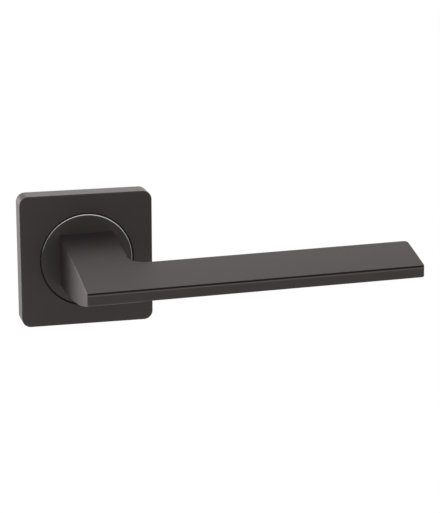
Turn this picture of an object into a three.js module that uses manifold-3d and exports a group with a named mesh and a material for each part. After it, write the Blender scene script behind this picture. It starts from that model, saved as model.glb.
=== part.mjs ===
// Door lever handle on a square sprung rose.
// Millimetres. +X runs along the lever, +Y into the door, +Z up. The origin lies on the spindle
// axis in the plane of the door's face, so everything outside the door has a negative y.

import * as THREE from 'three';
import { mergeVertices } from 'three/addons/utils/BufferGeometryUtils.js';
import Module from 'manifold-3d';

const wasm = await Module();
wasm.setup();

// ---- driving dimensions: rose ----
const roseSize = 52;
const roseDepth = 9;
const roseCornerRadius = 3.5;
const roseEdgeRadius = 0.45;
const coverWall = 1.6;
const coverFrontThickness = 1.5;
const coverFit = 0.4;

// ---- driving dimensions: collar disc ----
const collarRadius = 18;
const collarThickness = 1.5;
const collarGap = 0.5;
const collarEdgeRadius = 0.35;
const holeChamfer = 0.12;

// ---- driving dimensions: lever ----
const leverReach = 66;
const leverLength = 118.45;
const tipRake = 1.25;
const restAngle = THREE.MathUtils.degToRad(1.05);
const neckWidth = 21;
const neckDrop = 10.3;
const neckFlatUnderside = 6;
const neckTopSlope = 0.095;
const bladeBackSlope = 0.158;
const bladeFrontSlope = 0.197;
const crownRunOff = 1.5;
const bendLength = 17;
const bladeDepth = 23;
const bladeFrontRise = 2;
const bladeDrop = 2.6;
const leverEdgeRadius = 0.45;
const neckTrim = 2;
const neckBladeRadius = 6;
const tipBackRadius = 1.6;
const tipFrontRadius = 1.4;
const frontCornerRadius = 0.8;
const gussetRadius = 3;

// ---- driving dimensions: hub, spindle and screws ----
const spindleSize = 8;
const spindleLength = 100;
const spindleInsertion = 34;
const hubWall = 2.2;
const hubEndInset = 0.2;
const shoulderStep = 1;
const leverScrewRadius = 3;
const leverScrewLength = 5.5;
const leverScrewReach = 18;
const leverScrewSocket = 3;
const coverScrewRadius = 1.5;
const coverScrewLength = 4;
const coverScrewSocket = 1.5;

// ---- driving dimensions: spring cassette ----
const camThickness = 1.5;
const camInset = 0.3;
const tabWidth = 1.6;
const tabLength = 2.8;
const tabHalfAngle = THREE.MathUtils.degToRad(7);
const stopTabAngle = THREE.MathUtils.degToRad(90);
const driveTabAngle = THREE.MathUtils.degToRad(250);
const leverTravel = THREE.MathUtils.degToRad(45);
const stopHalfAngle = THREE.MathUtils.degToRad(8);
const springWireRadius = 0.7;
const springTurns = 1.75;
const springBendRadius = 1.2;
const springRoom = 0.5;
const tabRoom = 0.8;
const pocketRoom = 0.4;
const pocketFloor = 1.4;
const bossWall = 1.1;
const bossFrontSetback = 0.8;
const bushWall = 1.3;
const bushFlangeInset = 0.5;
const washerRoom = 2.4;
const recessDepth = 2.6;
const thrustWasherThickness = 0.4;
const waveHeight = 0.5;
const waveSheet = 0.2;
const circlipRoom = 0.6;
const circlipThickness = 0.9;
const circlipGrooveDepth = 0.5;
const circlipEyeRadius = 0.5;

// ---- driving dimensions: fixing to the door ----
const postInset = 5;
const postRadius = 3.8;
const postLength = 10;
const postSpigotRadius = 2.3;
const postBoreRadius = 1.65;
const postBoreFloor = 2;
const woodScrewInset = 5.5;
const woodScrewShankRadius = 1.9;
const woodScrewHeadRadius = 3.6;
const woodScrewHeadHeight = 2.2;
const woodScrewLength = 20;
const woodScrewSeatDepth = 3.2;
const woodScrewPointLength = 4;
const woodScrewSlot = 0.9;

// ---- clearances ----
const fitGap = 0.1;
const seatGap = 0.3;
const runningGap = 0.06;

// ---- values that follow from the ones above ----
const roseFrontY = -roseDepth;
const coverInnerY = roseFrontY + coverFrontThickness;
const baseFrontY = coverInnerY + seatGap;
const baseSize = roseSize - 2 * (coverWall + coverFit);
const postSpacing = baseSize - 2 * postInset;
const woodScrewSpacing = baseSize - 2 * woodScrewInset;
const collarBackY = roseFrontY + collarThickness;
const camBackY = collarBackY + camThickness;
const bossFrontY = camBackY + bossFrontSetback + seatGap;

// Rings round the spindle, from the middle outwards.
const hubRadius = (spindleSize / 2 + fitGap) * Math.SQRT2 + hubWall;
const shoulderSize = 2 * hubRadius + shoulderStep;
const bushOuterRadius = hubRadius + runningGap + bushWall;
const recessRadius = hubRadius + washerRoom;
const circlipOuterRadius = recessRadius - circlipRoom;
const bossRadius = recessRadius + bossWall;
const bushFlangeRadius = bossRadius - bushFlangeInset;
const springRadius = bossRadius + springRoom + springWireRadius;
const camRadius = springRadius - camInset;
const tabInnerRadius = springRadius + springWireRadius + tabRoom;
const tabOuterRadius = tabInnerRadius + tabWidth;
const pocketRadius = tabOuterRadius + pocketRoom;

const bladeFrontY = -leverReach;
const bladeBackY = bladeFrontY + bladeDepth;
const crownLength = bladeDepth + neckBladeRadius + crownRunOff;
const crownBackY = bladeFrontY + crownLength;
const bendBackY = crownBackY + bendLength;
const hubEndY = -hubEndInset;
const springFrontY = camBackY + seatGap + springWireRadius;
const springBackY = -pocketFloor - fitGap - springWireRadius;
const washerBackY = -recessDepth + thrustWasherThickness + fitGap;
const circlipFrontY = washerBackY + waveHeight + fitGap;
const coverScrewY = coverInnerY / 2;
const woodScrewSeatY = -woodScrewSeatDepth;

const blackPaint = new THREE.MeshStandardMaterial({ color: 0x2b2a2c, roughness: 0.42, metalness: 0 });
const zincCasting = new THREE.MeshStandardMaterial({ color: 0x9c9da0, roughness: 0.5, metalness: 0.9 });
const platedSteel = new THREE.MeshStandardMaterial({ color: 0xb7b9bd, roughness: 0.35, metalness: 1 });
const springSteel = new THREE.MeshStandardMaterial({ color: 0x74767a, roughness: 0.3, metalness: 1 });
const blackSteel = new THREE.MeshStandardMaterial({ color: 0x3a3a3c, roughness: 0.45, metalness: 0.8 });
const nylon = new THREE.MeshStandardMaterial({ color: 0xe4e1d6, roughness: 0.55, metalness: 0 });

// ---- solids: geometry in, boolean work, geometry out ----

// A closed geometry as a solid, turned right side out if its faces point inwards.
function toSolid(geometry) {
  const bare = geometry.clone();
  bare.deleteAttribute('normal');
  bare.deleteAttribute('uv');
  const merged = mergeVertices(bare, 1e-4);
  const build = (triVerts) => new wasm.Manifold(new wasm.Mesh({
    numProp: 3,
    vertProperties: new Float32Array(merged.attributes.position.array),
    triVerts,
  }));
  const triangles = new Uint32Array(merged.index.array);
  const solid = build(triangles);
  return solid.volume() > 0 ? solid : build(triangles.reverse());
}

function toMesh(solid, name, material) {
  const result = solid.getMesh();
  const geometry = new THREE.BufferGeometry();
  geometry.setAttribute('position', new THREE.BufferAttribute(result.vertProperties, 3));
  geometry.setIndex(new THREE.BufferAttribute(result.triVerts, 1));
  geometry.computeVertexNormals();
  const mesh = new THREE.Mesh(geometry, material);
  mesh.name = name;
  return mesh;
}

function joined(solids) {
  return solids.reduce((whole, next) => whole.add(next));
}

function cut(solid, cutters) {
  return cutters.reduce((rest, cutter) => rest.subtract(cutter), solid);
}

// A box between two corners.
function box(x0, x1, y0, y1, z0, z1) {
  const geometry = new THREE.BoxGeometry(x1 - x0, y1 - y0, z1 - z0);
  return toSolid(geometry.translate((x0 + x1) / 2, (y0 + y1) / 2, (z0 + z1) / 2));
}

// A square bar along the spindle axis.
function squareBar(size, y0, y1) {
  return box(-size / 2, size / 2, y0, y1, -size / 2, size / 2);
}

// A round bar parallel to the spindle axis.
function roundBar(radius, y0, y1, x = 0, z = 0, segments = 48) {
  const geometry = new THREE.CylinderGeometry(radius, radius, y1 - y0, segments);
  return toSolid(geometry.translate(x, (y0 + y1) / 2, z));
}

// A round or hexagonal bar standing upright.
function uprightBar(radius, z0, z1, x, y, segments = 32) {
  const geometry = new THREE.CylinderGeometry(radius, radius, z1 - z0, segments).rotateX(Math.PI / 2);
  return toSolid(geometry.translate(x, y, (z0 + z1) / 2));
}

// A solid of revolution about the spindle axis, from [radius, y] pairs that close on themselves.
function turned(profile, segments = 64) {
  const points = [...profile, profile[0]].map(([r, y]) => new THREE.Vector2(r, y));
  return toSolid(new THREE.LatheGeometry(points, segments));
}

// A flat shape drawn in x and z, made solid from y1 outwards to y0.
function plate(shape, y0, y1, curveSegments = 12) {
  const geometry = new THREE.ExtrudeGeometry(shape, { depth: y1 - y0, bevelEnabled: false, curveSegments });
  return toSolid(geometry.rotateX(Math.PI / 2).translate(0, y1, 0));
}

// Part of a ring around the spindle axis.
function ringSector(innerRadius, outerRadius, middle, halfAngle, y0, y1) {
  const shape = new THREE.Shape();
  shape.absarc(0, 0, outerRadius, middle - halfAngle, middle + halfAngle, false);
  shape.absarc(0, 0, innerRadius, middle + halfAngle, middle - halfAngle, true);
  return plate(shape, y0, y1, 6);
}

// ---- outlines and slabs ----

// Points of a closed outline whose corners are rounded: corner = { x, y, radius, steps }.
function roundedOutline(corners) {
  const points = [];
  corners.forEach((corner, i) => {
    const here = new THREE.Vector2(corner.x, corner.y);
    if (!corner.radius) {
      points.push(here);
      return;
    }
    const before = corners[(i + corners.length - 1) % corners.length];
    const after = corners[(i + 1) % corners.length];
    const back = new THREE.Vector2(before.x, before.y).sub(here).normalize();
    const ahead = new THREE.Vector2(after.x, after.y).sub(here).normalize();
    const half = Math.acos(back.dot(ahead)) / 2;
    const middle = back.clone().add(ahead).normalize();
    const centre = here.clone().addScaledVector(middle, corner.radius / Math.sin(half));
    const start = here.clone().addScaledVector(back, corner.radius / Math.tan(half)).sub(centre);
    const turn = (Math.PI - 2 * half) * Math.sign(ahead.cross(back));
    for (let step = 0; step <= corner.steps; step++) {
      const angle = (turn * step) / corner.steps;
      points.push(start.clone().rotateAround(new THREE.Vector2(), angle).add(centre));
    }
  });
  return points;
}

// The outline moved inwards by a distance, corner by corner.
function inset(outline, distance) {
  const normals = outline.map((point, i) => {
    const edge = outline[(i + 1) % outline.length].clone().sub(point).normalize();
    return new THREE.Vector2(-edge.y, edge.x);
  });
  return outline.map((point, i) => {
    const before = normals[(i + outline.length - 1) % outline.length];
    const after = normals[i];
    return point.clone().addScaledVector(before.clone().add(after), distance / (1 + before.dot(after)));
  });
}

// Triangles that fill an outline moved inwards, one band at a time between the y levels where the
// face bends. They run round in the outline's own sense.
function bandedFill(outline, distance, levels) {
  const filled = inset(outline, distance);
  const triangles = [];
  const limits = [-Infinity, ...[...levels].sort((a, b) => a - b), Infinity];
  const margin = 1e-6;
  for (let band = 0; band + 1 < limits.length; band++) {
    const members = [...outline.keys()].filter((i) => outline[i].y > limits[band] - margin
      && outline[i].y < limits[band + 1] + margin);
    const corners = members.map((i) => filled[i]);
    for (const face of THREE.ShapeUtils.triangulateShape(corners, [])) {
      triangles.push(face.map((corner) => members[corner]));
    }
  }
  const sense = Math.sign(THREE.ShapeUtils.area(outline));
  return triangles.map(([a, b, c]) => {
    const area = filled[b].clone().sub(filled[a]).cross(filled[c].clone().sub(filled[a]));
    return area * sense > 0 ? [a, b, c] : [a, c, b];
  });
}

// A slab with upright walls on a counter-clockwise outline. topAt and bottomAt give the height
// of its faces at a y, the edge radii round its rims, and levels are the y of its bends.
function slab({ outline, topAt, bottomAt, topEdge = 0, bottomEdge = 0, levels = [], steps = 4 }) {
  const rings = [];
  const addRings = (heightAt, radius, side) => {
    const count = radius > 0 ? steps : 0;
    const made = [];
    for (let k = 0; k <= count; k++) {
      const angle = count ? (k / count) * (Math.PI / 2) : 0;
      const ring = inset(outline, radius * (1 - Math.cos(angle)));
      const drop = radius * (1 - Math.sin(angle));
      made.push(ring.map((p) => new THREE.Vector3(p.x, p.y, heightAt(p.y) + side * drop)));
    }
    return made;
  };
  rings.push(...addRings(bottomAt, bottomEdge, 1).reverse());
  rings.push(...addRings(topAt, topEdge, -1));
  const count = outline.length;
  const positions = rings.flat().flatMap((p) => [p.x, p.y, p.z]);
  const index = [];
  for (let ring = 0; ring + 1 < rings.length; ring++) {
    for (let i = 0; i < count; i++) {
      const a = ring * count + i;
      const b = ring * count + ((i + 1) % count);
      index.push(a, b, b + count, a, b + count, a + count);
    }
  }
  const last = (rings.length - 1) * count;
  for (const [a, b, c] of bandedFill(outline, bottomEdge, levels)) {
    index.push(a, c, b);
  }
  for (const [a, b, c] of bandedFill(outline, topEdge, levels)) {
    index.push(last + a, last + b, last + c);
  }
  const geometry = new THREE.BufferGeometry();
  geometry.setAttribute('position', new THREE.Float32BufferAttribute(positions, 3));
  geometry.setIndex(index);
  return toSolid(geometry);
}

// A body through equal sections, each a closed list of points, with flat ends.
function lofted(sections) {
  const count = sections[0].length;
  const positions = sections.flat().flatMap((p) => [p.x, p.y, p.z]);
  const index = [];
  for (let row = 0; row + 1 < sections.length; row++) {
    for (let i = 0; i < count; i++) {
      const a = row * count + i;
      const b = row * count + ((i + 1) % count);
      index.push(a, b, b + count, a, b + count, a + count);
    }
  }
  const flat = sections[0].map((p) => new THREE.Vector2(p.x, p.z));
  const last = (sections.length - 1) * count;
  for (const [a, b, c] of bandedFill(flat, 0, [])) {
    index.push(a, c, b, last + a, last + b, last + c);
  }
  const geometry = new THREE.BufferGeometry();
  geometry.setAttribute('position', new THREE.Float32BufferAttribute(positions, 3));
  geometry.setIndex(index);
  return toSolid(geometry);
}

// ---- lever casting ----

// Height of the lever's top above the spindle axis. Three runs join without a kink: a gentle crown
// from the front edge back, a quicker bend, and a straight run to the rose.
function leverTopAt(y) {
  const crown = Math.min(y - bladeFrontY, crownLength);
  const bend = Math.min(Math.max(y - crownBackY, 0), bendLength);
  const straight = Math.max(y - bendBackY, 0);
  return bladeFrontRise
    + bladeFrontSlope * crown - ((bladeFrontSlope - bladeBackSlope) * crown ** 2) / (2 * crownLength)
    + bladeBackSlope * bend - ((bladeBackSlope - neckTopSlope) * bend ** 2) / (2 * bendLength)
    + neckTopSlope * straight;
}

// Height of the neck's underside: level beside the rose, then rising in a curve to the front edge.
function neckUndersideAt(y) {
  const startY = roseFrontY - neckFlatUnderside;
  const along = Math.max(0, startY - y) / (startY - bladeFrontY);
  return -neckDrop + (neckDrop - bladeDrop) * along ** 2;
}

function evenly(from, to, parts) {
  return Array.from({ length: parts + 1 }, (_, i) => from + ((to - from) * i) / parts);
}

// The top of the casting in plan: neck, square front corner and blade with its raked tip.
function leverBody() {
  const side = neckWidth / 2;
  const startY = roseFrontY + neckTrim;
  const neckLevels = evenly(bendBackY, crownBackY, 6);
  const bladeLevels = evenly(bladeBackY - 1.5 * tipBackRadius, bladeFrontY, 5).slice(0, -1);
  const tipAt = (y) => leverLength + (tipRake * (y - bladeFrontY)) / bladeDepth;
  const outline = roundedOutline([
    { x: -side, y: startY },
    ...[...neckLevels, ...bladeLevels].map((y) => ({ x: -side, y })),
    { x: -side, y: bladeFrontY, radius: frontCornerRadius, steps: 4 },
    { x: leverLength, y: bladeFrontY, radius: tipFrontRadius, steps: 6 },
    ...[...bladeLevels].reverse().map((y) => ({ x: tipAt(y), y })),
    { x: tipAt(bladeBackY), y: bladeBackY, radius: tipBackRadius, steps: 6 },
    { x: side, y: bladeBackY, radius: neckBladeRadius, steps: 10 },
    ...[...neckLevels].reverse().map((y) => ({ x: side, y })),
    { x: side, y: startY },
  ]);
  return slab({
    outline,
    topAt: leverTopAt,
    bottomAt: () => -bladeDrop,
    topEdge: leverEdgeRadius,
    bottomEdge: leverEdgeRadius,
    levels: [...neckLevels, ...bladeLevels],
  });
}

// The lower half of the neck, which thins towards the front edge.
function neckKeel() {
  const side = neckWidth / 2;
  const startY = roseFrontY + neckTrim;
  const levels = evenly(roseFrontY - neckFlatUnderside, bladeFrontY + 1, 10);
  const outline = roundedOutline([
    { x: -side, y: startY },
    ...levels.map((y) => ({ x: -side, y })),
    { x: -side, y: bladeFrontY, radius: frontCornerRadius, steps: 4 },
    { x: side, y: bladeFrontY },
    ...[...levels].reverse().map((y) => ({ x: side, y })),
    { x: side, y: startY },
  ]);
  return slab({
    outline,
    topAt: () => -bladeDrop / 4,
    bottomAt: neckUndersideAt,
    bottomEdge: leverEdgeRadius,
    levels,
  });
}

// The hollow curve that joins the neck's side to the blade's underside, dying out at the front.
function underbladeGusset() {
  const side = neckWidth / 2;
  const rootY = bladeBackY + neckBladeRadius / 4;
  const tuck = leverEdgeRadius + fitGap;
  const sections = evenly(rootY, bladeFrontY + 2, 8).map((y) => {
    const radius = Math.min(gussetRadius, 0.8 * (-bladeDrop - neckUndersideAt(y)));
    const arc = evenly(0, Math.PI / 2, 6).map((angle) => new THREE.Vector3(
      side + radius * (1 - Math.sin(angle)),
      y,
      -bladeDrop - radius * (1 - Math.cos(angle)),
    ));
    return [
      ...arc,
      new THREE.Vector3(side - tuck, y, -bladeDrop - radius),
      new THREE.Vector3(side - tuck, y, -bladeDrop + tuck),
      new THREE.Vector3(side + radius, y, -bladeDrop + tuck),
    ];
  });
  return lofted(sections);
}

// The whole casting. The neck ends square against the collar; the shoulder that carries the collar
// and cam, and the hub behind it, are narrower.
function leverCasting() {
  const neckAndBlade = cut(joined([leverBody(), neckKeel(), underbladeGusset()]), [
    box(-roseSize, roseSize, roseFrontY, 0, -roseSize, roseSize),
  ]);
  const shoulder = squareBar(shoulderSize, roseFrontY - 1, camBackY);
  const hub = roundBar(hubRadius, roseFrontY - 1, hubEndY, 0, 0, 64);
  const grooveY = circlipFrontY - fitGap / 2;
  const groove = turned([
    [hubRadius - circlipGrooveDepth, grooveY],
    [hubRadius + 1, grooveY],
    [hubRadius + 1, grooveY + circlipThickness + fitGap],
    [hubRadius - circlipGrooveDepth, grooveY + circlipThickness + fitGap],
  ]);
  const bore = squareBar(spindleSize + 2 * fitGap, -spindleInsertion - seatGap, 1);
  const screwHole = uprightBar(leverScrewRadius + fitGap, -neckDrop - 1, 0, 0, -leverScrewReach);
  return cut(joined([neckAndBlade, shoulder, hub]), [groove, bore, screwHole]);
}

function leverGrubScrew() {
  const top = -spindleSize / 2 - seatGap;
  const bottom = top - leverScrewLength;
  const screw = uprightBar(leverScrewRadius, bottom, top, 0, -leverScrewReach);
  const socket = uprightBar(leverScrewSocket / Math.sqrt(3), bottom - 1, bottom + leverScrewLength / 2,
    0, -leverScrewReach, 6);
  return cut(screw, [socket]);
}

// ---- pieces that turn with the lever inside the rose ----

function collarDisc() {
  const rim = evenly(0, Math.PI / 2, 2).map((angle) => [
    collarRadius - collarEdgeRadius * (1 - Math.sin(angle)),
    roseFrontY + collarEdgeRadius * (1 - Math.cos(angle)),
  ]);
  const disc = turned([[0, collarBackY], [0, roseFrontY], ...rim, [collarRadius, collarBackY]], 96);
  return cut(disc, [squareBar(shoulderSize + 2 * fitGap, roseFrontY - 1, 0)]);
}

function springCam() {
  const disc = roundBar(camRadius, collarBackY, camBackY, 0, 0, 64);
  const parts = [disc];
  for (const angle of [stopTabAngle, driveTabAngle]) {
    parts.push(ringSector(camRadius / 2, tabOuterRadius, angle, tabHalfAngle, collarBackY, camBackY));
    parts.push(ringSector(tabInnerRadius, tabOuterRadius, angle, tabHalfAngle,
      camBackY - camThickness / 2, camBackY + tabLength));
  }
  return cut(joined(parts), [squareBar(shoulderSize + 2 * fitGap, roseFrontY, 0)]);
}

// ---- return spring ----

// Where the drive tab's leading side meets the spring's leg, measured to the coil's end.
function springStartAngle() {
  const legOffset = springBendRadius - springWireRadius - seatGap;
  return driveTabAngle - tabHalfAngle + legOffset / tabInnerRadius;
}

function springEndAngle() {
  return springStartAngle() + springTurns * 2 * Math.PI;
}

// Centre line of the torsion spring: a short leg turned outwards at each end of the coil.
class SpringWire extends THREE.Curve {
  getPoint(t) {
    const leg = tabOuterRadius - springWireRadius - springRadius - springBendRadius;
    const bend = (springBendRadius * Math.PI) / 2;
    const coil = springTurns * 2 * Math.PI * springRadius;
    const along = t * (coil + 2 * (leg + bend));
    const fromStart = leg + bend - along;
    const fromEnd = along - (leg + bend + coil);
    if (fromStart > 0) {
      return this.endPoint(springStartAngle(), -1, fromStart, bend, springFrontY);
    }
    if (fromEnd > 0) {
      return this.endPoint(springEndAngle(), 1, fromEnd, bend, springBackY);
    }
    const share = -fromStart / coil;
    const angle = springStartAngle() + share * (springEndAngle() - springStartAngle());
    const y = springFrontY + share * (springBackY - springFrontY);
    return new THREE.Vector3(springRadius * Math.cos(angle), y, springRadius * Math.sin(angle));
  }

  endPoint(angle, sense, distance, bend, y) {
    const turn = Math.min(distance / bend, 1) * (Math.PI / 2);
    const outwards = springRadius + springBendRadius * (1 - Math.cos(turn)) + Math.max(0, distance - bend);
    const sideways = sense * springBendRadius * Math.sin(turn);
    return new THREE.Vector3(
      outwards * Math.cos(angle) - sideways * Math.sin(angle),
      y,
      outwards * Math.sin(angle) + sideways * Math.cos(angle),
    );
  }
}

function returnSpring() {
  const section = new THREE.Shape();
  section.absarc(0, 0, springWireRadius, 0, 2 * Math.PI, false);
  const geometry = new THREE.ExtrudeGeometry(section, {
    steps: 110,
    bevelEnabled: false,
    curveSegments: 4,
    extrudePath: new SpringWire(),
  });
  return toSolid(geometry);
}

// ---- bearing and retaining pieces ----

function hubBush() {
  const bore = hubRadius + runningGap;
  const flangeFrontY = camBackY + seatGap;
  return turned([
    [bore, flangeFrontY],
    [bushFlangeRadius, flangeFrontY],
    [bushFlangeRadius, bossFrontY],
    [bushOuterRadius, bossFrontY],
    [bushOuterRadius, -recessDepth],
    [bore, -recessDepth],
  ]);
}

function washerRing(innerRadius, outerRadius, y0, y1) {
  return turned([[innerRadius, y0], [outerRadius, y0], [outerRadius, y1], [innerRadius, y1]], 72);
}

function thrustWasher() {
  const y0 = -recessDepth + fitGap;
  return washerRing(hubRadius + fitGap, recessRadius - seatGap, y0, y0 + thrustWasherThickness);
}

// A thin ring pressed into three waves.
function waveWasher() {
  const outer = recessRadius - seatGap;
  const inner = hubRadius + fitGap;
  const shape = new THREE.Shape();
  shape.absarc(0, 0, outer, 0, 2 * Math.PI, false);
  const hole = new THREE.Path();
  hole.absarc(0, 0, inner, 0, 2 * Math.PI, true);
  shape.holes.push(hole);
  const geometry = new THREE.ExtrudeGeometry(shape, { depth: waveSheet, bevelEnabled: false, curveSegments: 48 });
  geometry.rotateX(Math.PI / 2).translate(0, washerBackY + fitGap / 2 + waveHeight / 2 + waveSheet / 2, 0);
  const position = geometry.attributes.position;
  const waveCount = 3;
  for (let i = 0; i < position.count; i++) {
    const angle = Math.atan2(position.getZ(i), position.getX(i));
    const lift = ((waveHeight - waveSheet) / 2) * Math.sin(waveCount * angle);
    position.setY(i, position.getY(i) + lift);
  }
  return toSolid(geometry);
}

// An open ring with two eyes beside its gap.
function circlip() {
  const y0 = circlipFrontY;
  const y1 = y0 + circlipThickness;
  const inner = hubRadius - circlipGrooveDepth + fitGap;
  const middle = (inner + circlipOuterRadius) / 2;
  const gapHalfAngle = Math.PI / 12;
  const ring = washerRing(inner, circlipOuterRadius, y0, y1);
  const gap = ringSector(inner / 2, circlipOuterRadius + 1, -Math.PI / 2, gapHalfAngle, y0 - 1, y1 + 1);
  const eyes = [-1, 1].map((side) => {
    const angle = -Math.PI / 2 + side * gapHalfAngle * 1.7;
    return roundBar(circlipEyeRadius, y0 - 1, y1 + 1, middle * Math.cos(angle), middle * Math.sin(angle), 16);
  });
  return cut(ring, [gap, ...eyes]);
}

function spindle() {
  return squareBar(spindleSize, -spindleInsertion, spindleLength - spindleInsertion);
}

// ---- rose ----

// A square plate with rounded corners; its front edges can be rounded too.
function roundedSquare(size, cornerRadius, y0, y1, frontEdge = 0) {
  const h = size / 2;
  const outline = roundedOutline([[-h, -h], [h, -h], [h, h], [-h, h]].map(([x, y]) => ({
    x, y, radius: cornerRadius, steps: 8,
  })));
  const upright = slab({ outline, topAt: () => -y0, bottomAt: () => -y1, topEdge: frontEdge });
  return upright.rotate([90, 0, 0]);
}

function roseCover() {
  const outside = roundedSquare(roseSize, roseCornerRadius, roseFrontY, 0, roseEdgeRadius);
  const insideCorner = roseCornerRadius - coverWall;
  const inside = roundedSquare(roseSize - 2 * coverWall, insideCorner, coverInnerY, 1);
  const holeRadius = collarRadius + collarGap;
  const hole = turned([
    [0, roseFrontY - 1],
    [holeRadius + holeChamfer + 1, roseFrontY - 1],
    [holeRadius, roseFrontY + holeChamfer],
    [holeRadius, coverInnerY + 1],
    [0, coverInnerY + 1],
  ], 96);
  const screwHole = uprightBar(coverScrewRadius + fitGap, -roseSize, -roseSize / 4, 0, coverScrewY);
  return cut(outside, [inside, hole, screwHole]);
}

// The screw passes the cover's lower wall and ends in a dimple of the base plate.
function coverGrubScrew() {
  const bottom = -roseSize / 2 + seatGap;
  const screw = uprightBar(coverScrewRadius, bottom, bottom + coverScrewLength, 0, coverScrewY, 24);
  const socket = uprightBar(coverScrewSocket / Math.sqrt(3), bottom - 1, bottom + coverScrewLength / 2,
    0, coverScrewY, 6);
  return cut(screw, [socket]);
}

function woodScrewPlaces() {
  const h = woodScrewSpacing / 2;
  return [[-h, h], [h, h], [h, -h], [-h, -h]];
}

function postPlaces() {
  return { left: -postSpacing / 2, right: postSpacing / 2 };
}

// The cast base: a spring pocket around a boss for the hub, with the stops for the cam's tab
// and the spring's anchor left standing in the pocket.
function basePlate() {
  const block = roundedSquare(baseSize, roseCornerRadius - coverWall - coverFit, baseFrontY, 0);
  const pocket = turned([
    [bossRadius, -pocketFloor],
    [pocketRadius, -pocketFloor],
    [pocketRadius, baseFrontY - 1],
    [bossRadius, baseFrontY - 1],
  ], 72);
  const bossFace = roundBar(bossRadius + fitGap, baseFrontY - 1, bossFrontY, 0, 0, 64);
  const bushBore = roundBar(bushOuterRadius + fitGap / 2, bossFrontY - 1, 1, 0, 0, 64);
  const recess = roundBar(recessRadius, -recessDepth, 1, 0, 0, 64);
  const stopOffset = tabHalfAngle + seatGap / tabInnerRadius + stopHalfAngle;
  const anchorOffset = (springBendRadius - springWireRadius - seatGap) / tabInnerRadius;
  const stops = [
    stopTabAngle + stopOffset,
    stopTabAngle - leverTravel - stopOffset,
    springEndAngle() + anchorOffset - stopHalfAngle,
  ].map((angle) => ringSector(tabInnerRadius, pocketRadius + 1, angle + restAngle, stopHalfAngle,
    camBackY + seatGap, -pocketFloor / 2));
  const holes = [];
  for (const [x, z] of woodScrewPlaces()) {
    holes.push(roundBar(woodScrewShankRadius + seatGap, baseFrontY - 1, 1, x, z, 32));
    holes.push(roundBar(woodScrewHeadRadius + seatGap, baseFrontY - 1, woodScrewSeatY, x, z, 32));
  }
  for (const x of Object.values(postPlaces())) {
    holes.push(roundBar(postSpigotRadius + fitGap, baseFrontY - 1, 1, x, 0, 32));
  }
  const dimpleTop = -roseSize / 2 + seatGap + coverScrewLength + seatGap;
  holes.push(uprightBar(coverScrewRadius + seatGap, -roseSize, dimpleTop, 0, coverScrewY, 24));
  const pocketed = cut(block, [pocket, bossFace]);
  return cut(joined([pocketed, ...stops]), [bushBore, recess, ...holes]);
}

// ---- fixings ----

// A post staked into the base plate, tapped from behind for the through bolt.
function boltPost(x) {
  const body = roundBar(postRadius, seatGap, postLength, x, 0, 32);
  const spigot = roundBar(postSpigotRadius, baseFrontY + fitGap, seatGap + 1, x, 0, 32);
  const bore = roundBar(postBoreRadius, baseFrontY + postBoreFloor, postLength + 1, x, 0, 24);
  return cut(joined([body, spigot]), [bore]);
}

// A pan-headed screw with a crossed slot and a tapered point.
function woodScrew(x, z) {
  const headBackY = woodScrewSeatY - fitGap;
  const headFrontY = headBackY - woodScrewHeadHeight;
  const tipY = headBackY + woodScrewLength;
  const profile = [
    [0, headFrontY],
    [woodScrewHeadRadius * 0.6, headFrontY],
    [woodScrewHeadRadius * 0.9, headFrontY + woodScrewHeadHeight * 0.3],
    [woodScrewHeadRadius, headFrontY + woodScrewHeadHeight * 0.7],
    [woodScrewHeadRadius, headBackY],
    [woodScrewShankRadius, headBackY],
    [woodScrewShankRadius, tipY - woodScrewPointLength],
    [0, tipY],
  ];
  const screw = turned(profile, 24);
  const depth = woodScrewHeadHeight * 0.6;
  const long = woodScrewHeadRadius * 0.55;
  const wide = woodScrewSlot / 2;
  const slots = [
    box(-long, long, headFrontY - 1, headFrontY + depth, -wide, wide),
    box(-wide, wide, headFrontY - 1, headFrontY + depth, -long, long),
  ];
  return cut(screw, slots).translate([x, 0, z]);
}

// ---- assembly ----

const handle = new THREE.Group();
const turning = new THREE.Group();
turning.rotation.y = -restAngle;
handle.add(turning);

turning.add(toMesh(leverCasting(), 'lever', blackPaint));
turning.add(toMesh(collarDisc(), 'collar_disc', blackPaint));
turning.add(toMesh(springCam(), 'spring_cam', platedSteel));
turning.add(toMesh(returnSpring(), 'return_spring', springSteel));
turning.add(toMesh(thrustWasher(), 'thrust_washer', platedSteel));
turning.add(toMesh(waveWasher(), 'wave_washer', springSteel));
turning.add(toMesh(circlip(), 'circlip', blackSteel));
turning.add(toMesh(spindle(), 'spindle', platedSteel));
turning.add(toMesh(leverGrubScrew(), 'lever_grub_screw', blackSteel));

handle.add(toMesh(roseCover(), 'rose_cover', blackPaint));
handle.add(toMesh(coverGrubScrew(), 'cover_grub_screw', blackSteel));
handle.add(toMesh(basePlate(), 'base_plate', zincCasting));
handle.add(toMesh(hubBush(), 'hub_bush', nylon));
for (const [side, x] of Object.entries(postPlaces())) {
  handle.add(toMesh(boltPost(x), `bolt_post_${side}`, platedSteel));
}
woodScrewPlaces().forEach(([x, z], i) => {
  handle.add(toMesh(woodScrew(x, z), `wood_screw_${i + 1}`, platedSteel));
});

export default handle;
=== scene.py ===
import math

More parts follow.
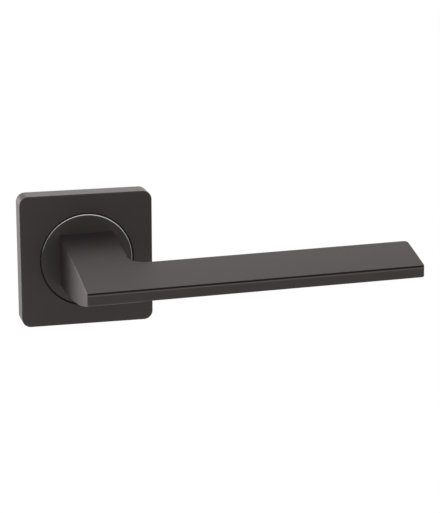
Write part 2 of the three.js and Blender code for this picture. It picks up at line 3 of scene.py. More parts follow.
import bpy
import numpy as np
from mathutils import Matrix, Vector


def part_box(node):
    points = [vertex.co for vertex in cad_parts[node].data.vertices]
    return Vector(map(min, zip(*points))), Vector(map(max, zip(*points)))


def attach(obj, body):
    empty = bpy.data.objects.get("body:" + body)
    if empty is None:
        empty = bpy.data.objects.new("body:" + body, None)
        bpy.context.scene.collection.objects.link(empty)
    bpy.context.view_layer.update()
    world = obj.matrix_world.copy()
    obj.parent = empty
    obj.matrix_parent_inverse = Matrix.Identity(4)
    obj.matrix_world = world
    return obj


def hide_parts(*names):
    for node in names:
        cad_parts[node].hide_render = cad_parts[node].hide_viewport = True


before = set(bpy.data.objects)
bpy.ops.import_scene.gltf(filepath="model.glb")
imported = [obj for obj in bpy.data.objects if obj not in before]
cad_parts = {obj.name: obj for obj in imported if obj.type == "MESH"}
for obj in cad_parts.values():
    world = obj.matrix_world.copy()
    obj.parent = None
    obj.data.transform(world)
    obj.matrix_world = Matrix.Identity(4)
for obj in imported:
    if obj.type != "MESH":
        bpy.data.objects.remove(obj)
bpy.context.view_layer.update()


# ---- Camera ----
# The handle is seen from its free side, a little above the spindle and to the left of the rose,
# from about three quarters of a metre, so the blade runs away to the right.

door_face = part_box("rose_cover")[1].y
aim = Vector((0.05578, door_face, -0.00465))
view_turn, view_rise, view_distance = math.radians(-14.445), math.radians(14.307), 0.75252
towards_camera = Vector((math.sin(view_turn) * math.cos(view_rise),
                         -math.cos(view_turn) * math.cos(view_rise),
                         math.sin(view_rise)))
camera_data = bpy.data.cameras.new("camera")
camera_data.lens = 131.37
camera_data.sensor_width = 36.0
camera_data.clip_start = 0.01
camera_data.clip_end = 50.0
camera = bpy.data.objects.new("camera", camera_data)
bpy.context.scene.collection.objects.link(camera)
camera.location = aim + towards_camera * view_distance
camera.rotation_euler = (-towards_camera).to_track_quat("-Z", "Y").to_euler()
bpy.context.scene.camera = camera


# ---- Studio surround ----
# A white product tent with soft boxes round it: one above the camera, three behind the rose, and a
# bank of them behind it to the left. Satin black shows mostly what it mirrors, so these set its
# tones.

def add_node(tree, kind, inputs=None, **settings):
    """One node of a kind with its settings, its input values and links: a value or an output socket."""
    node = tree.nodes.new(kind)
    for name, value in settings.items():
        setattr(node, name, value)
    for name, value in (inputs or {}).items():
        socket = node.inputs[name]
        if isinstance(value, bpy.types.NodeSocket):
            tree.links.new(value, socket)
        else:
            socket.default_value = value
    return node


def linear(hex_colour):
    """An sRGB hex colour as linear red, green, blue and an alpha of one."""
    values = [int(hex_colour[i:i + 2], 16) / 255 for i in (1, 3, 5)]
    return tuple(v / 12.92 if v <= 0.04045 else ((v + 0.055) / 1.055) ** 2.4 for v in values) + (1.0,)


all_round = 0.66
# Each soft box: degrees round from straight behind the rose towards the blade's tip, degrees up,
# the angles from its middle to the end of its full light and of its soft edge, and its brightness.
soft_boxes = [
    (164, 28, 14, 37, 0.26),
    (14, 2, 10, 21.5, 0.95),
    (14, 18, 10, 21.5, 0.25),
    (12, 54, 10, 21.5, 0.85),
    (-30, 0, 10, 21.5, 1.90),
    (-30, 20, 10, 21.5, 0.49),
    (-30, 40, 10, 21.5, 0.42),
    (-50, -5, 10, 21.5, 1.11),
    (-50, 20, 10, 21.5, 0.40),
    (-75, 0, 10, 21.5, 0.42),
]
world = bpy.data.worlds.new("product_tent")
bpy.context.scene.world = world
world.use_nodes = True
tree = world.node_tree
tree.nodes.clear()
outwards = add_node(tree, "ShaderNodeTexCoord").outputs["Generated"]
level = all_round
for turn, rise, core, edge, strength in soft_boxes:
    turn, rise, core, edge = (math.radians(angle) for angle in (turn, rise, core, edge))
    facing = add_node(tree, "ShaderNodeVectorMath", {
        0: outwards,
        1: (math.sin(turn) * math.cos(rise), math.cos(turn) * math.cos(rise), math.sin(rise)),
    }, operation="DOT_PRODUCT")
    lit = add_node(tree, "ShaderNodeMapRange", {
        "Value": facing.outputs["Value"], "From Min": math.cos(edge), "From Max": math.cos(core),
        "To Min": 0.0, "To Max": strength}, interpolation_type="SMOOTHSTEP")
    level = add_node(tree, "ShaderNodeMath", {
        0: level, 1: lit.outputs["Result"]}, operation="ADD").outputs[0]
# The camera sees plain white beyond the object, also through a clear piece, and metal mirrors the
# tent with its boxes.
rays = add_node(tree, "ShaderNodeLightPath")
seen = add_node(tree, "ShaderNodeMath", {
    0: rays.outputs["Is Camera Ray"], 1: rays.outputs["Is Transmission Ray"]}, operation="MAXIMUM")
surround = add_node(tree, "ShaderNodeBackground", {"Color": linear("#ffffff"), "Strength": level})
backdrop = add_node(tree, "ShaderNodeBackground", {"Color": linear("#ffffff"), "Strength": 1.0})
shown = add_node(tree, "ShaderNodeMixShader", {
    "Fac": seen.outputs[0], 1: surround.outputs[0], 2: backdrop.outputs[0]})
add_node(tree, "ShaderNodeOutputWorld", {"Surface": shown.outputs[0]})


# ---- Floor ----
# A pale sheet a quarter of a metre below the spindle, so nothing rests on it. What is seen of it,
# and what metal mirrors, is lifted to white, and it keeps the handle's soft shadow.

floor_drop, floor_half, floor_lift = 0.25, 0.5, 0.36
floor_mesh = bpy.data.meshes.new("floor")
floor_mesh.from_pydata([(x, y, -floor_drop) for x, y in
                        ((-floor_half, -floor_half), (floor_half, -floor_half),
                         (floor_half, floor_half), (-floor_half, floor_half))], [], [(0, 1, 2, 3)])
floor = bpy.data.objects.new("floor", floor_mesh)
bpy.context.scene.collection.objects.link(floor)
paper = bpy.data.materials.new("white_paper_sheet")
paper.use_nodes = True
tree = paper.node_tree
tree.nodes.clear()
rays = add_node(tree, "ShaderNodeLightPath")
seen = add_node(tree, "ShaderNodeMath", {
    0: rays.outputs["Is Camera Ray"], 1: rays.outputs["Is Glossy Ray"]}, operation="MAXIMUM")
seen = add_node(tree, "ShaderNodeMath", {
    0: seen.outputs[0], 1: rays.outputs["Is Transmission Ray"]}, operation="MAXIMUM")
lift = add_node(tree, "ShaderNodeMath", {0: seen.outputs[0], 1: floor_lift}, operation="MULTIPLY")
matt = add_node(tree, "ShaderNodeBsdfDiffuse", {"Color": linear("#e8e8e6")})
glow = add_node(tree, "ShaderNodeEmission", {"Color": linear("#ffffff"), "Strength": lift.outputs[0]})
sheet = add_node(tree, "ShaderNodeAddShader", {0: matt.outputs[0], 1: glow.outputs[0]})
add_node(tree, "ShaderNodeOutputMaterial", {"Surface": sheet.outputs[0]})
floor_mesh.materials.append(paper)


# ---- Lever ----
# One zinc die casting: neck, blade, and behind the rose a square shoulder and a round hub. It is
# blasted, sprayed with satin black powder that holds a little fine metal flake, and baked, which
# leaves a faint orange peel.

def new_finish(name):
    """A node material: its tree, its Principled shader and the socket of object coordinates."""
    material = bpy.data.materials.new(name)
    material.use_nodes = True
    tree = material.node_tree
    place = add_node(tree, "ShaderNodeTexCoord")
    return material, tree, tree.nodes["Principled BSDF"], place.outputs["Object"]


def dress(node, material):
    """Gives a CAD node its finish, joins its loose triangles, and shades its curved runs smoothly up
    to its crisp edges."""
    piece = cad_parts[node]
    piece.data.materials.clear()
    piece.data.materials.append(material)
    piece.data.polygons.foreach_set("use_smooth", [True] * len(piece.data.polygons))
    piece.modifiers.new("join", "WELD").merge_threshold = 1e-6
    piece.modifiers.new("crisp_edges", "EDGE_SPLIT").split_angle = math.radians(38)
    return piece


def powder_coat(name):
    """The castings' coat as a node material: its drifts of colour, its peel and its gloss."""
    material, tree, coat, place = new_finish(name)
    cloud = add_node(tree, "ShaderNodeTexNoise", {
        "Vector": place, "Scale": 90.0, "Detail": 2.0})  # 11 mm drifts
    tint = add_node(tree, "ShaderNodeMix", {
        "Factor": cloud.outputs["Fac"], 6: linear("#383435"), 7: linear("#3c3839")}, data_type="RGBA")
    grain = add_node(tree, "ShaderNodeTexNoise", {
        "Vector": place, "Scale": 2600.0, "Detail": 3.0})  # 0.4 mm peel
    gloss = add_node(tree, "ShaderNodeMapRange", {
        "Value": grain.outputs["Fac"], "To Min": 0.39, "To Max": 0.45})
    peel = add_node(tree, "ShaderNodeBump", {
        "Height": grain.outputs["Fac"], "Strength": 0.12, "Distance": 0.00005})
    tree.links.new(tint.outputs[2], coat.inputs["Base Color"])
    tree.links.new(gloss.outputs["Result"], coat.inputs["Roughness"])
    tree.links.new(peel.outputs["Normal"], coat.inputs["Normal"])
    coat.inputs["Metallic"].default_value = 0.35
    coat.inputs["Specular Tint"].default_value = linear("#fff0f0")
    return material, tree, coat, place


def keep_flats(piece):
    """Turns the shading at a rounded edge towards the larger face beside it, so flats look flat."""
    piece.modifiers.new("flat_faces", "WEIGHTED_NORMAL").weight = 80


satin_black = powder_coat("satin_black_powder_coat")[0]

# Painted along the blade's crisp front edge: a dark line half a millimetre wide, which is painted
# shade for the edge mirroring dark surroundings, and a low, paler line just below it, which is a
# painted highlight. Heights are measured on the lever when it is level.
tip_rise = math.radians(1.05)
blade_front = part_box("lever")[0].y
shade_line_low, shade_line_top, highlight_low, highlight_top, line_fade = 0.00155, 0.0025, 0.0010, 0.0013, 0.0002
coat_with_painted_edge_lines, tree, coat, place = powder_coat("satin_black_powder_coat_drawn_back_from_the_edge")
height = add_node(tree, "ShaderNodeVectorMath", {
    0: place, 1: (-math.sin(tip_rise), 0.0, math.cos(tip_rise))},
    operation="DOT_PRODUCT").outputs["Value"]
depth = add_node(tree, "ShaderNodeSeparateXYZ", {"Vector": place}).outputs["Y"]
on_front = add_node(tree, "ShaderNodeMapRange", {
    "Value": depth, "From Min": blade_front + line_fade, "From Max": blade_front + 2 * line_fade,
    "To Min": 1.0, "To Max": 0.0}).outputs["Result"]


def band(low, top):
    """One between two heights on the blade's front and zero elsewhere, with soft sides: a rise
    over the fade below low, times a fall over the fade above top."""
    rise = add_node(tree, "ShaderNodeMapRange", {
        "Value": height, "From Min": low - line_fade, "From Max": low}).outputs["Result"]
    fall = add_node(tree, "ShaderNodeMapRange", {
        "Value": height, "From Min": top, "From Max": top + line_fade,
        "To Min": 1.0, "To Max": 0.0}).outputs["Result"]
    both = add_node(tree, "ShaderNodeMath", {0: rise, 1: fall}, operation="MULTIPLY").outputs[0]
    return add_node(tree, "ShaderNodeMath", {0: both, 1: on_front}, operation="MULTIPLY").outputs[0]


# The dark line is painted shade, and the paler one below it is a painted highlight.
painted_shade_line, painted_highlight = band(shade_line_low, shade_line_top), band(highlight_low, highlight_top)
colour = add_node(tree, "ShaderNodeMix", {
    "Factor": painted_highlight, 6: coat.inputs["Base Color"].links[0].from_socket, 7: linear("#565152")},
    data_type="RGBA")
colour = add_node(tree, "ShaderNodeMix", {
    "Factor": painted_shade_line, 6: colour.outputs[2], 7: linear("#121011")}, data_type="RGBA")
shine = add_node(tree, "ShaderNodeMapRange", {
    "Value": painted_shade_line, "To Min": coat.inputs["Metallic"].default_value, "To Max": 0.7})
tree.links.new(colour.outputs[2], coat.inputs["Base Color"])
tree.links.new(shine.outputs["Result"], coat.inputs["Metallic"])
keep_flats(dress("lever", coat_with_painted_edge_lines))


# ---- Collar disc ----
# A turned steel disc, a loose fit in the rose's round opening, that goes round with the lever on
# its square shoulder. It is coated with the rest. A bright metal line is painted on its front edge,
# a little off centre, so it is widest at the upper right and dies out opposite: a painted highlight.

def with_lever(points):
    """Points drawn for a level lever, turned about the spindle axis to where the lever rests."""
    x, y, z = np.moveaxis(points, -1, 0)
    c, s = math.cos(tip_rise), math.sin(tip_rise)
    return np.stack([c * x - s * z, y, s * x + c * z], axis=-1)


def skin(name, grid, material, closed=False):
    """A closed mesh over a grid of points (rings, steps round, xyz): neighbouring rings are joined
    by quads, and the end rings are joined to each other or filled with one face each. Faces
    point outwards, which the sign of the enclosed volume tells."""
    rings, steps = grid.shape[:2]
    ring, step = np.meshgrid(np.arange(rings if closed else rings - 1), np.arange(steps), indexing="ij")
    after, beside = (ring + 1) % rings, (step + 1) % steps
    quads = np.stack([ring * steps + step, ring * steps + beside,
                      after * steps + beside, after * steps + step], axis=-1).reshape(-1, 4)
    points = grid.reshape(-1, 3)
    a, b, c, d = (points[quads[:, k]] - points.mean(axis=0) for k in range(4))
    volume = (np.cross(a, b) * c).sum() + (np.cross(a, c) * d).sum()
    faces = quads.tolist()
    if not closed:
        faces += [list(range(steps))[::-1], list(range((rings - 1) * steps, rings * steps))]
    if volume < 0:
        faces = [face[::-1] for face in faces]
    mesh = bpy.data.meshes.new(name)
    mesh.from_pydata(points.tolist(), [], faces)
    mesh.polygons.foreach_set("use_smooth", [True] * len(faces))
    mesh.set_sharp_from_angle(angle=math.radians(35))
    mesh.materials.append(material)
    piece = bpy.data.objects.new(name, mesh)
    bpy.context.scene.collection.objects.link(piece)
    return piece


def turned(profile, steps):
    """Rings of a turned shape about the y axis, from rows of radius and y: x = r cos, z = r sin."""
    radius, y = np.asarray(profile, dtype=float).T
    angle = np.linspace(0, 2 * math.pi, steps, endpoint=False)
    return np.stack([radius[:, None] * np.cos(angle), np.repeat(y[:, None], steps, axis=1),
                     radius[:, None] * np.sin(angle)], axis=-1)


disc_radius, disc_edge, disc_hole, disc_steps = 0.018, 0.00035, 0.0086, 192
disc_low, disc_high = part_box("collar_disc")
quarter = np.linspace(0, math.pi / 2, 9)
disc_rim = np.stack([disc_radius - disc_edge * (1 - np.sin(quarter)),
                     disc_low.y + disc_edge * (1 - np.cos(quarter))], axis=-1)
disc_bevel = 0.0001
disc_back = [(disc_radius, disc_high.y - disc_bevel), (disc_radius - disc_bevel, disc_high.y)]
disc = turned(np.concatenate([disc_rim, disc_back]), disc_steps)
# The faces run from the square hole, half size over the larger of |cos| and |sin|, to the rim.
angle = np.linspace(0, 2 * math.pi, disc_steps, endpoint=False)
hole = disc_hole / np.maximum(abs(np.cos(angle)), abs(np.sin(angle)))
share = np.linspace(0, 1, 6)[:-1, None]
front = hole + (disc_radius - disc_edge - hole) * share
face = np.stack([front * np.cos(angle), np.full_like(front, disc_low.y), front * np.sin(angle)], axis=-1)
rear = face[::-1] * (1, 0, 1) + (0, disc_high.y, 0)
disc = with_lever(np.concatenate([face, disc, rear]))

rim_highlight_coat, tree, coat, place = powder_coat("satin_black_powder_coat_with_painted_rim_highlight")
rim_width, rim_fade, rim_offset, highlight_side = 0.00018, 0.00004, 0.0002, math.radians(68)
axes = add_node(tree, "ShaderNodeSeparateXYZ", {"Vector": add_node(tree, "ShaderNodeVectorMath", {
    0: place, 1: (rim_offset * math.cos(highlight_side), 0, rim_offset * math.sin(highlight_side))}).outputs[0]})
across = add_node(tree, "ShaderNodeCombineXYZ", {"X": axes.outputs["X"], "Z": axes.outputs["Z"]})
radius = add_node(tree, "ShaderNodeVectorMath", {0: across.outputs[0]}, operation="LENGTH")
# The bright band is a painted highlight, widest where the light falls on the rim.
rim_highlight = add_node(tree, "ShaderNodeMapRange", {
    "Value": radius.outputs["Value"], "From Min": disc_radius - rim_width,
    "From Max": disc_radius - rim_width + rim_fade},
    interpolation_type="SMOOTHSTEP").outputs["Result"]
colour = add_node(tree, "ShaderNodeMix", {
    "Factor": rim_highlight, 6: coat.inputs["Base Color"].links[0].from_socket, 7: linear("#e6e3e2")},
    data_type="RGBA")
gloss = add_node(tree, "ShaderNodeMix", {
    "Factor": rim_highlight, 2: coat.inputs["Roughness"].links[0].from_socket, 3: 0.3})
metal = add_node(tree, "ShaderNodeMapRange", {
    "Value": rim_highlight, "To Min": coat.inputs["Metallic"].default_value, "To Max": 1.0})
tree.links.new(colour.outputs[2], coat.inputs["Base Color"])
tree.links.new(gloss.outputs[0], coat.inputs["Roughness"])
tree.links.new(metal.outputs["Result"], coat.inputs["Metallic"])

collar = skin("collar_disc_with_painted_rim_highlight", disc, rim_highlight_coat, closed=True)
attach(collar, "lever")
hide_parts("collar_disc")


# ---- Rose cover ----
# A square zinc die-cast cap with softly rounded corners and a crisp front edge, in the lever's
# own coat. It drops over the base plate and hides the screws.

keep_flats(dress("rose_cover", satin_black))


# ---- Grub screws ----
# Two blackened steel set screws with hexagon sockets, both put in from below: a small one holds
# the cover on the base plate, and a larger one in the neck bears on the spindle.

blackened, tree, steel, place = new_finish("blackened_steel_lightly_oiled")
film = add_node(tree, "ShaderNodeTexNoise", {
    "Vector": place, "Scale": 900.0, "Detail": 4.0})  # 1.1 mm oil film
shade = add_node(tree, "ShaderNodeMix", {
    "Factor": film.outputs["Fac"], 6: linear("#2a2a2c"), 7: linear("#3a3a3c")}, data_type="RGBA")
gloss = add_node(tree, "ShaderNodeMapRange", {
    "Value": film.outputs["Fac"], "To Min": 0.34, "To Max": 0.52})
pits = add_node(tree, "ShaderNodeBump", {
    "Height": film.outputs["Fac"], "Strength": 0.1, "Distance": 0.00002})
tree.links.new(shade.outputs[2], steel.inputs["Base Color"])
tree.links.new(gloss.outputs["Result"], steel.inputs["Roughness"])
tree.links.new(pits.outputs["Normal"], steel.inputs["Normal"])
steel.inputs["Metallic"].default_value = 1.0


def thread_depth(along, angle, pitch, depth):
    """How far a thread cuts in: a flat-topped zigzag of the distance along less the turn's share.
    Its crests are flat for 12% of the pitch and its roots for 8%."""
    phase = (along / pitch - angle / (2 * math.pi)) % 1
    return depth * np.clip(1.25 * abs(2 * phase - 1) - 0.15, 0, 1)


def set_screw(radius, length, pitch, across_flats):
    """Rings of a set screw standing on its socket's mouth at z = 0: from the socket's floor out of
    the hexagon, round the end, up the thread and over the cup point. The hexagon's radius is half
    its width over the cosine of the angle from the middle of the nearest flat."""
    angle = np.linspace(0, 2 * math.pi, 72, endpoint=False)
    hexagon = across_flats / 2 / np.cos((angle + math.pi / 6) % (math.pi / 3) - math.pi / 6)
    chamfer, floor = 0.6 * pitch, length / 2
    round_ = np.ones_like(angle)
    height = np.linspace(0, length, round(length / pitch * 12) + 1)[:, None]
    from_end = np.minimum(height, length - height)
    core = radius - thread_depth(height, angle, pitch, 0.6 * pitch)
    side = np.minimum(core, radius - chamfer + from_end)
    rings = [(0.01 * round_ * radius, floor * 1.1), (0.97 * hexagon, floor), (hexagon, 0.97 * floor),
             (hexagon, 0.08 * floor), (1.06 * hexagon, 0.0)]
    rings += [(row, z) for row, z in zip(side, height[:, 0])]
    rings += [(0.55 * radius * round_, length), (0.45 * radius * round_, length - 0.1 * radius),
              (0.01 * radius * round_, length - 0.3 * radius)]
    reach = np.array([ring[0] for ring in rings])
    rise = np.array([ring[1] for ring in rings])[:, None] * round_
    return np.stack([reach * np.cos(angle), reach * np.sin(angle), rise], axis=-1)


low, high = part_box("cover_grub_screw")
cover_screw = skin("cover_grub_screw_threaded", set_screw(0.0015, high.z - low.z, 0.0005, 0.0015)
                   + ((low.x + high.x) / 2, (low.y + high.y) / 2, low.z), blackened)
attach(cover_screw, "rose")
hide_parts("cover_grub_screw")

lever_screw_reach, lever_screw_foot = 0.018, 0.0098
lever_screw = skin("lever_grub_screw_threaded", with_lever(
    set_screw(0.003, 0.0055, 0.001, 0.003) + (0, -lever_screw_reach, -lever_screw_foot)), blackened)
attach(lever_screw, "lever")
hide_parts("lever_grub_screw")


# ---- Base plate ----
# A bare zinc die casting, dull from the mould, with a round spring pocket, a boss for the hub, and
# seats for the screws and bolt posts. A dark track of painted shade lies behind the collar disc's edge.

zinc, tree, metal, place = new_finish("bare_zinc_die_casting")
flow = add_node(tree, "ShaderNodeTexNoise", {
    "Vector": place, "Scale": 160.0, "Detail": 3.0, "Distortion": 0.8})  # 6 mm flow marks
sand = add_node(tree, "ShaderNodeTexNoise", {
    "Vector": place, "Scale": 2200.0, "Detail": 4.0})  # 0.5 mm mould grain
shade = add_node(tree, "ShaderNodeMix", {
    "Factor": flow.outputs["Fac"], 6: linear("#8c8d90"), 7: linear("#b4b5b7")}, data_type="RGBA")
gloss = add_node(tree, "ShaderNodeMapRange", {
    "Value": sand.outputs["Fac"], "To Min": 0.42, "To Max": 0.62})
grain = add_node(tree, "ShaderNodeBump", {
    "Height": sand.outputs["Fac"], "Strength": 0.25, "Distance": 0.00005})
tree.links.new(shade.outputs[2], metal.inputs["Base Color"])
tree.links.new(gloss.outputs["Result"], metal.inputs["Roughness"])
tree.links.new(grain.outputs["Normal"], metal.inputs["Normal"])
metal.inputs["Metallic"].default_value = 1.0

plate_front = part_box("base_plate")[0].y
# The dark track set by these is painted shade in the gap round the collar disc.
gap_shade_depth, gap_shade_radius, gap_shade_reach, gap_shade_fade = 0.0003, 0.0181, 0.0016, 0.0005


def paint_gap_shade(tree, metal, place):
    """Painted shade over a metal, dark where it lies right behind the collar disc's edge: on the front
    of the plate, as far as the distance from the spindle differs little from the disc's radius."""
    axes = add_node(tree, "ShaderNodeSeparateXYZ", {"Vector": place})
    across = add_node(tree, "ShaderNodeCombineXYZ", {"X": axes.outputs["X"], "Z": axes.outputs["Z"]})
    radius = add_node(tree, "ShaderNodeVectorMath", {0: across.outputs[0]}, operation="LENGTH")
    off = add_node(tree, "ShaderNodeMath", {
        0: radius.outputs["Value"], 1: gap_shade_radius}, operation="SUBTRACT")
    off = add_node(tree, "ShaderNodeMath", {0: off.outputs[0]}, operation="ABSOLUTE")
    track = add_node(tree, "ShaderNodeMapRange", {
        "Value": off.outputs[0], "From Min": gap_shade_reach - gap_shade_fade, "From Max": gap_shade_reach,
        "To Min": 1.0, "To Max": 0.0}, interpolation_type="SMOOTHSTEP")
    front = add_node(tree, "ShaderNodeMapRange", {
        "Value": axes.outputs["Y"], "From Min": plate_front + gap_shade_depth,
        "From Max": plate_front + gap_shade_depth + gap_shade_fade, "To Min": 1.0, "To Max": 0.0})
    film = add_node(tree, "ShaderNodeMath", {
        0: track.outputs["Result"], 1: front.outputs["Result"]}, operation="MULTIPLY").outputs[0]
    colour = add_node(tree, "ShaderNodeMix", {
        "Factor": film, 6: metal.inputs["Base Color"].links[0].from_socket, 7: linear("#1c1a18")},
        data_type="RGBA")
    gloss = add_node(tree, "ShaderNodeMix", {
        "Factor": film, 2: metal.inputs["Roughness"].links[0].from_socket, 3: 0.5})
    shine = add_node(tree, "ShaderNodeMapRange", {
        "Value": film, "To Min": metal.inputs["Metallic"].default_value, "To Max": 0.0})
    tree.links.new(colour.outputs[2], metal.inputs["Base Color"])
    tree.links.new(gloss.outputs[0], metal.inputs["Roughness"])
    tree.links.new(shine.outputs["Result"], metal.inputs["Metallic"])


paint_gap_shade(tree, metal, place)
dress("base_plate", zinc)


# ---- Spring cam and thrust washer ----
# Pressed from sheet steel and zinc plated: the cam turns with the lever's shoulder and winds the
# spring with its bent tab, and the washer runs against the plate's back.


def zinc_plate(name):
    """Bright zinc plate on steel as a node material: drifting tints, fine grain and gloss."""
    material, tree, metal, place = new_finish(name)
    hue = add_node(tree, "ShaderNodeTexNoise", {
        "Vector": place, "Scale": 70.0, "Detail": 2.0})  # 14 mm tints
    spangle = add_node(tree, "ShaderNodeTexNoise", {
        "Vector": place, "Scale": 1500.0, "Detail": 3.0})  # 0.7 mm grain
    shade = add_node(tree, "ShaderNodeMix", {
        "Factor": hue.outputs["Fac"], 6: linear("#bcc4cb"), 7: linear("#cfcbc0")}, data_type="RGBA")
    gloss = add_node(tree, "ShaderNodeMapRange", {
        "Value": spangle.outputs["Fac"], "To Min": 0.24, "To Max": 0.4})
    grain = add_node(tree, "ShaderNodeBump", {
        "Height": spangle.outputs["Fac"], "Strength": 0.12, "Distance": 0.00002})
    tree.links.new(shade.outputs[2], metal.inputs["Base Color"])
    tree.links.new(gloss.outputs["Result"], metal.inputs["Roughness"])
    tree.links.new(grain.outputs["Normal"], metal.inputs["Normal"])
    metal.inputs["Metallic"].default_value = 1.0
    return material, tree, metal, place


plated = zinc_plate("bright_zinc_plated_steel")[0]
dress("spring_cam", plated)
dress("thrust_washer", plated)


# ---- Return spring and wave washer ----
# Oiled spring steel: a torsion spring of one and three quarter turns with a short leg at each end,
# and a thin washer pressed into three waves that takes up the play.

spring_steel, tree, metal, place = new_finish("oiled_spring_steel")
draw = add_node(tree, "ShaderNodeTexNoise", {
    "Vector": place, "Scale": 1200.0, "Detail": 3.0})  # 0.8 mm mottle
shade = add_node(tree, "ShaderNodeMix", {
    "Factor": draw.outputs["Fac"], 6: linear("#5f6164"), 7: linear("#85868a")}, data_type="RGBA")
gloss = add_node(tree, "ShaderNodeMapRange", {
    "Value": draw.outputs["Fac"], "To Min": 0.22, "To Max": 0.38})
grain = add_node(tree, "ShaderNodeBump", {
    "Height": draw.outputs["Fac"], "Strength": 0.1, "Distance": 0.00002})
tree.links.new(shade.outputs[2], metal.inputs["Base Color"])
tree.links.new(gloss.outputs["Result"], metal.inputs["Roughness"])
tree.links.new(grain.outputs["Normal"], metal.inputs["Normal"])
metal.inputs["Metallic"].default_value = 1.0
dress("return_spring", spring_steel)
dress("wave_washer", spring_steel)


# ---- Hub bush ----
# Moulded from natural nylon, pressed into the plate's boss; the lever's hub turns in it.

nylon, tree, plastic, place = new_finish("natural_moulded_nylon")
milk = add_node(tree, "ShaderNodeTexNoise", {
    "Vector": place, "Scale": 300.0, "Detail": 2.0})  # 3 mm clouding
shade = add_node(tree, "ShaderNodeMix", {
    "Factor": milk.outputs["Fac"], 6: linear("#dedacc"), 7: linear("#ebe8dd")}, data_type="RGBA")
gloss = add_node(tree, "ShaderNodeMapRange", {
    "Value": milk.outputs["Fac"], "To Min": 0.4, "To Max": 0.55})
tree.links.new(shade.outputs[2], plastic.inputs["Base Color"])
tree.links.new(gloss.outputs["Result"], plastic.inputs["Roughness"])
plastic.inputs["Subsurface Weight"].default_value = 0.2
plastic.inputs["Subsurface Scale"].default_value = 0.001
dress("hub_bush", nylon)


# ---- Circlip ----
# Stamped from the same blackened steel as the grub screws and snapped into the hub's groove; it
# keeps the lever on the rose.

dress("circlip", blackened)


# ---- Spindle ----
# A square bar of cold-drawn steel, zinc plated, with lightly rounded arrises and bevelled ends. It
# passes through the latch in the door.

drawn, tree, metal, place = new_finish("cold_drawn_zinc_plated_bar")
along = add_node(tree, "ShaderNodeMapping", {"Vector": place, "Scale": (1.0, 0.012, 1.0)})
# Die lines 0.3 mm wide and 24 mm long.
lines = add_node(tree, "ShaderNodeTexNoise", {
    "Vector": along.outputs["Vector"], "Scale": 3500.0, "Detail": 3.0})
hue = add_node(tree, "ShaderNodeTexNoise", {"Vector": place, "Scale": 60.0, "Detail": 2.0})  # 17 mm tints
shade = add_node(tree, "ShaderNodeMix", {
    "Factor": hue.outputs["Fac"], 6: linear("#b6bec6"), 7: linear("#cdc9bd")}, data_type="RGBA")
gloss = add_node(tree, "ShaderNodeMapRange", {
    "Value": lines.outputs["Fac"], "To Min": 0.2, "To Max": 0.42})
scores = add_node(tree, "ShaderNodeBump", {
    "Height": lines.outputs["Fac"], "Strength": 0.2, "Distance": 0.00002})
tree.links.new(shade.outputs[2], metal.inputs["Base Color"])
tree.links.new(gloss.outputs["Result"], metal.inputs["Roughness"])
tree.links.new(scores.outputs["Normal"], metal.inputs["Normal"])
metal.inputs["Metallic"].default_value = 1.0

bar_half, bar_arris, bar_bevel = 0.004, 0.0005, 0.0009
low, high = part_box("spindle")
bar_rings = 12
bar_y = np.concatenate([[low.y], np.linspace(low.y + bar_bevel, high.y - bar_bevel, bar_rings), [high.y]])
bar_inset = np.array([bar_bevel] + [0.0] * bar_rings + [bar_bevel])[:, None]
# Its section is four quarter arcs: each corner's centre plus the arris radius at that angle.
bend = np.linspace(0, math.pi / 2, 7)
bar_angle = np.concatenate([bend + turn * math.pi / 2 for turn in range(4)])
corner = np.repeat(np.arange(4), len(bend)) * math.pi / 2 + math.pi / 4
to_centre = (bar_half - bar_arris) * math.sqrt(2) - bar_inset * math.sqrt(2)
bar = np.stack([to_centre * np.cos(corner) + bar_arris * np.cos(bar_angle),
                np.repeat(bar_y[:, None], len(bar_angle), axis=1),
                to_centre * np.sin(corner) + bar_arris * np.sin(bar_angle)], axis=-1)
spindle = skin("spindle_bar", with_lever(bar), drawn)
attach(spindle, "lever")
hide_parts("spindle")


# ---- Bolt posts ----
# Two turned and plated steel posts, staked into the base plate and tapped from behind; bolts
# through the door from the other rose screw into them.

post_spigot, post_body, post_bore, post_pitch, post_thread = 0.0023, 0.0038, 0.00165, 0.0007, 0.0003
post_root, post_floor, post_steps = 0.0003, 0.002, 64
spigot_bevel, shoulder_bevel, post_bevel = 0.0002, 0.0003, 0.0005
thread_start, drill_point, outside_rings = 0.0004, 0.0008, 9
pole = 0.00002  # the tiny last ring on the axis, closed with one face
plated_with_gap_shade, tree, metal, place = zinc_plate("bright_zinc_plated_steel_with_painted_gap_shade")
# The posts get the same painted shade where they lie behind the collar disc's gap.
paint_gap_shade(tree, metal, place)
for side in ("left", "right"):
    low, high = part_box(f"bolt_post_{side}")
    tapped = np.linspace(high.y - thread_start, low.y + post_floor, 160)
    profile = np.array([
        (pole, low.y), (post_spigot - spigot_bevel, low.y), (post_spigot, low.y + spigot_bevel),
        (post_spigot, post_root), (post_body - shoulder_bevel, post_root),
        (post_body, post_root + shoulder_bevel), (post_body, high.y - post_bevel),
        (post_body - post_bevel, high.y), (post_bore + post_bevel, high.y),
        *((post_bore, y) for y in tapped), (pole, low.y + post_floor - drill_point)])
    post = turned(profile, post_steps)
    # The thread is cut into the bore's wall, after the rings of the outside, and fades out at the
    # bore's floor.
    angle = np.linspace(0, 2 * math.pi, post_steps, endpoint=False)
    cut = thread_depth(tapped[:, None], angle, post_pitch, post_thread)
    cut *= np.clip((tapped[:, None] - tapped[-1]) / post_pitch, 0, 1)
    post[outside_rings:-1, :, 0] += cut * np.cos(angle)
    post[outside_rings:-1, :, 2] += cut * np.sin(angle)
    piece = skin(f"bolt_post_{side}_tapped",
                 post + ((low.x + high.x) / 2, 0, (low.z + high.z) / 2), plated_with_gap_shade)
    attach(piece, "rose")
    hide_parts(f"bolt_post_{side}")


# ---- Wood screws ----
# Four plated pan-head screws with crossed recesses. They hold the base plate to the door; the
# shank is plain under the head and threaded to a gimlet point.

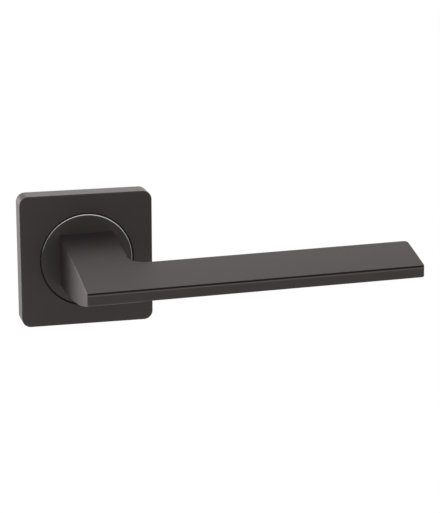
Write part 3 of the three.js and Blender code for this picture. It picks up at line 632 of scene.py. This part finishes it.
screw_steps = 96
head_radius, head_height, head_fillet = 0.0036, 0.0022, 0.0003
recess_half, recess_reach, recess_depth, recess_wall, recess_end = 0.00045, 0.002, 0.0013, 0.00015, 0.0006
shank, screw_core, screw_pitch, plain_length, point_length = 0.0019, 0.00125, 0.0016, 0.004, 0.004
angle = np.linspace(0, 2 * math.pi, screw_steps, endpoint=False)
for number, slot_turn in zip((1, 2, 3, 4), (0.2, 0.9, 1.3, 0.5)):
    low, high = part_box(f"wood_screw_{number}")
    # The head is a low dome; the recess is sunk where either arm of the cross lies, with sloped walls.
    reach = np.linspace(pole, 0.94 * head_radius, 30)[:, None]
    u, v = abs(reach * np.cos(angle + slot_turn)), abs(reach * np.sin(angle + slot_turn))
    arm = [np.clip((recess_half - a) / recess_wall + 0.5, 0, 1)
           * np.clip((recess_reach - b) / recess_end, 0, 1) for a, b in ((u, v), (v, u))]
    dome = low.y + 0.35 * head_height * (reach / head_radius) ** 2.5 + recess_depth * np.maximum(*arm)
    edge = np.array([
        (head_radius, low.y + 0.5 * head_height), (head_radius, low.y + 0.92 * head_height),
        (0.96 * head_radius, low.y + head_height), (shank + head_fillet, low.y + head_height)])
    y = np.linspace(low.y + head_height + head_fillet, high.y, 190)[:, None]
    threaded = np.clip((y - low.y - head_height - plain_length) / screw_pitch, 0, 1)
    point = np.clip((high.y - y) / point_length, 0, 1) ** 0.7
    bite = thread_depth(y, angle, screw_pitch, 1.0) * threaded
    shaft = np.maximum((shank - (shank - screw_core) * bite) * point, pole)
    reach = np.concatenate([
        reach * np.ones(screw_steps), np.repeat(edge[:, :1], screw_steps, axis=1), shaft])
    height = np.concatenate([
        dome, np.repeat(edge[:, 1:], screw_steps, axis=1), y * np.ones(screw_steps)])
    grid = np.stack([reach * np.cos(angle), height, reach * np.sin(angle)], axis=-1)
    piece = skin(f"wood_screw_{number}_threaded",
                 grid + ((low.x + high.x) / 2, 0, (low.z + high.z) / 2), plated)
    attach(piece, "rose")
    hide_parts(f"wood_screw_{number}")


bpy.context.scene.view_settings.view_transform = "Standard"
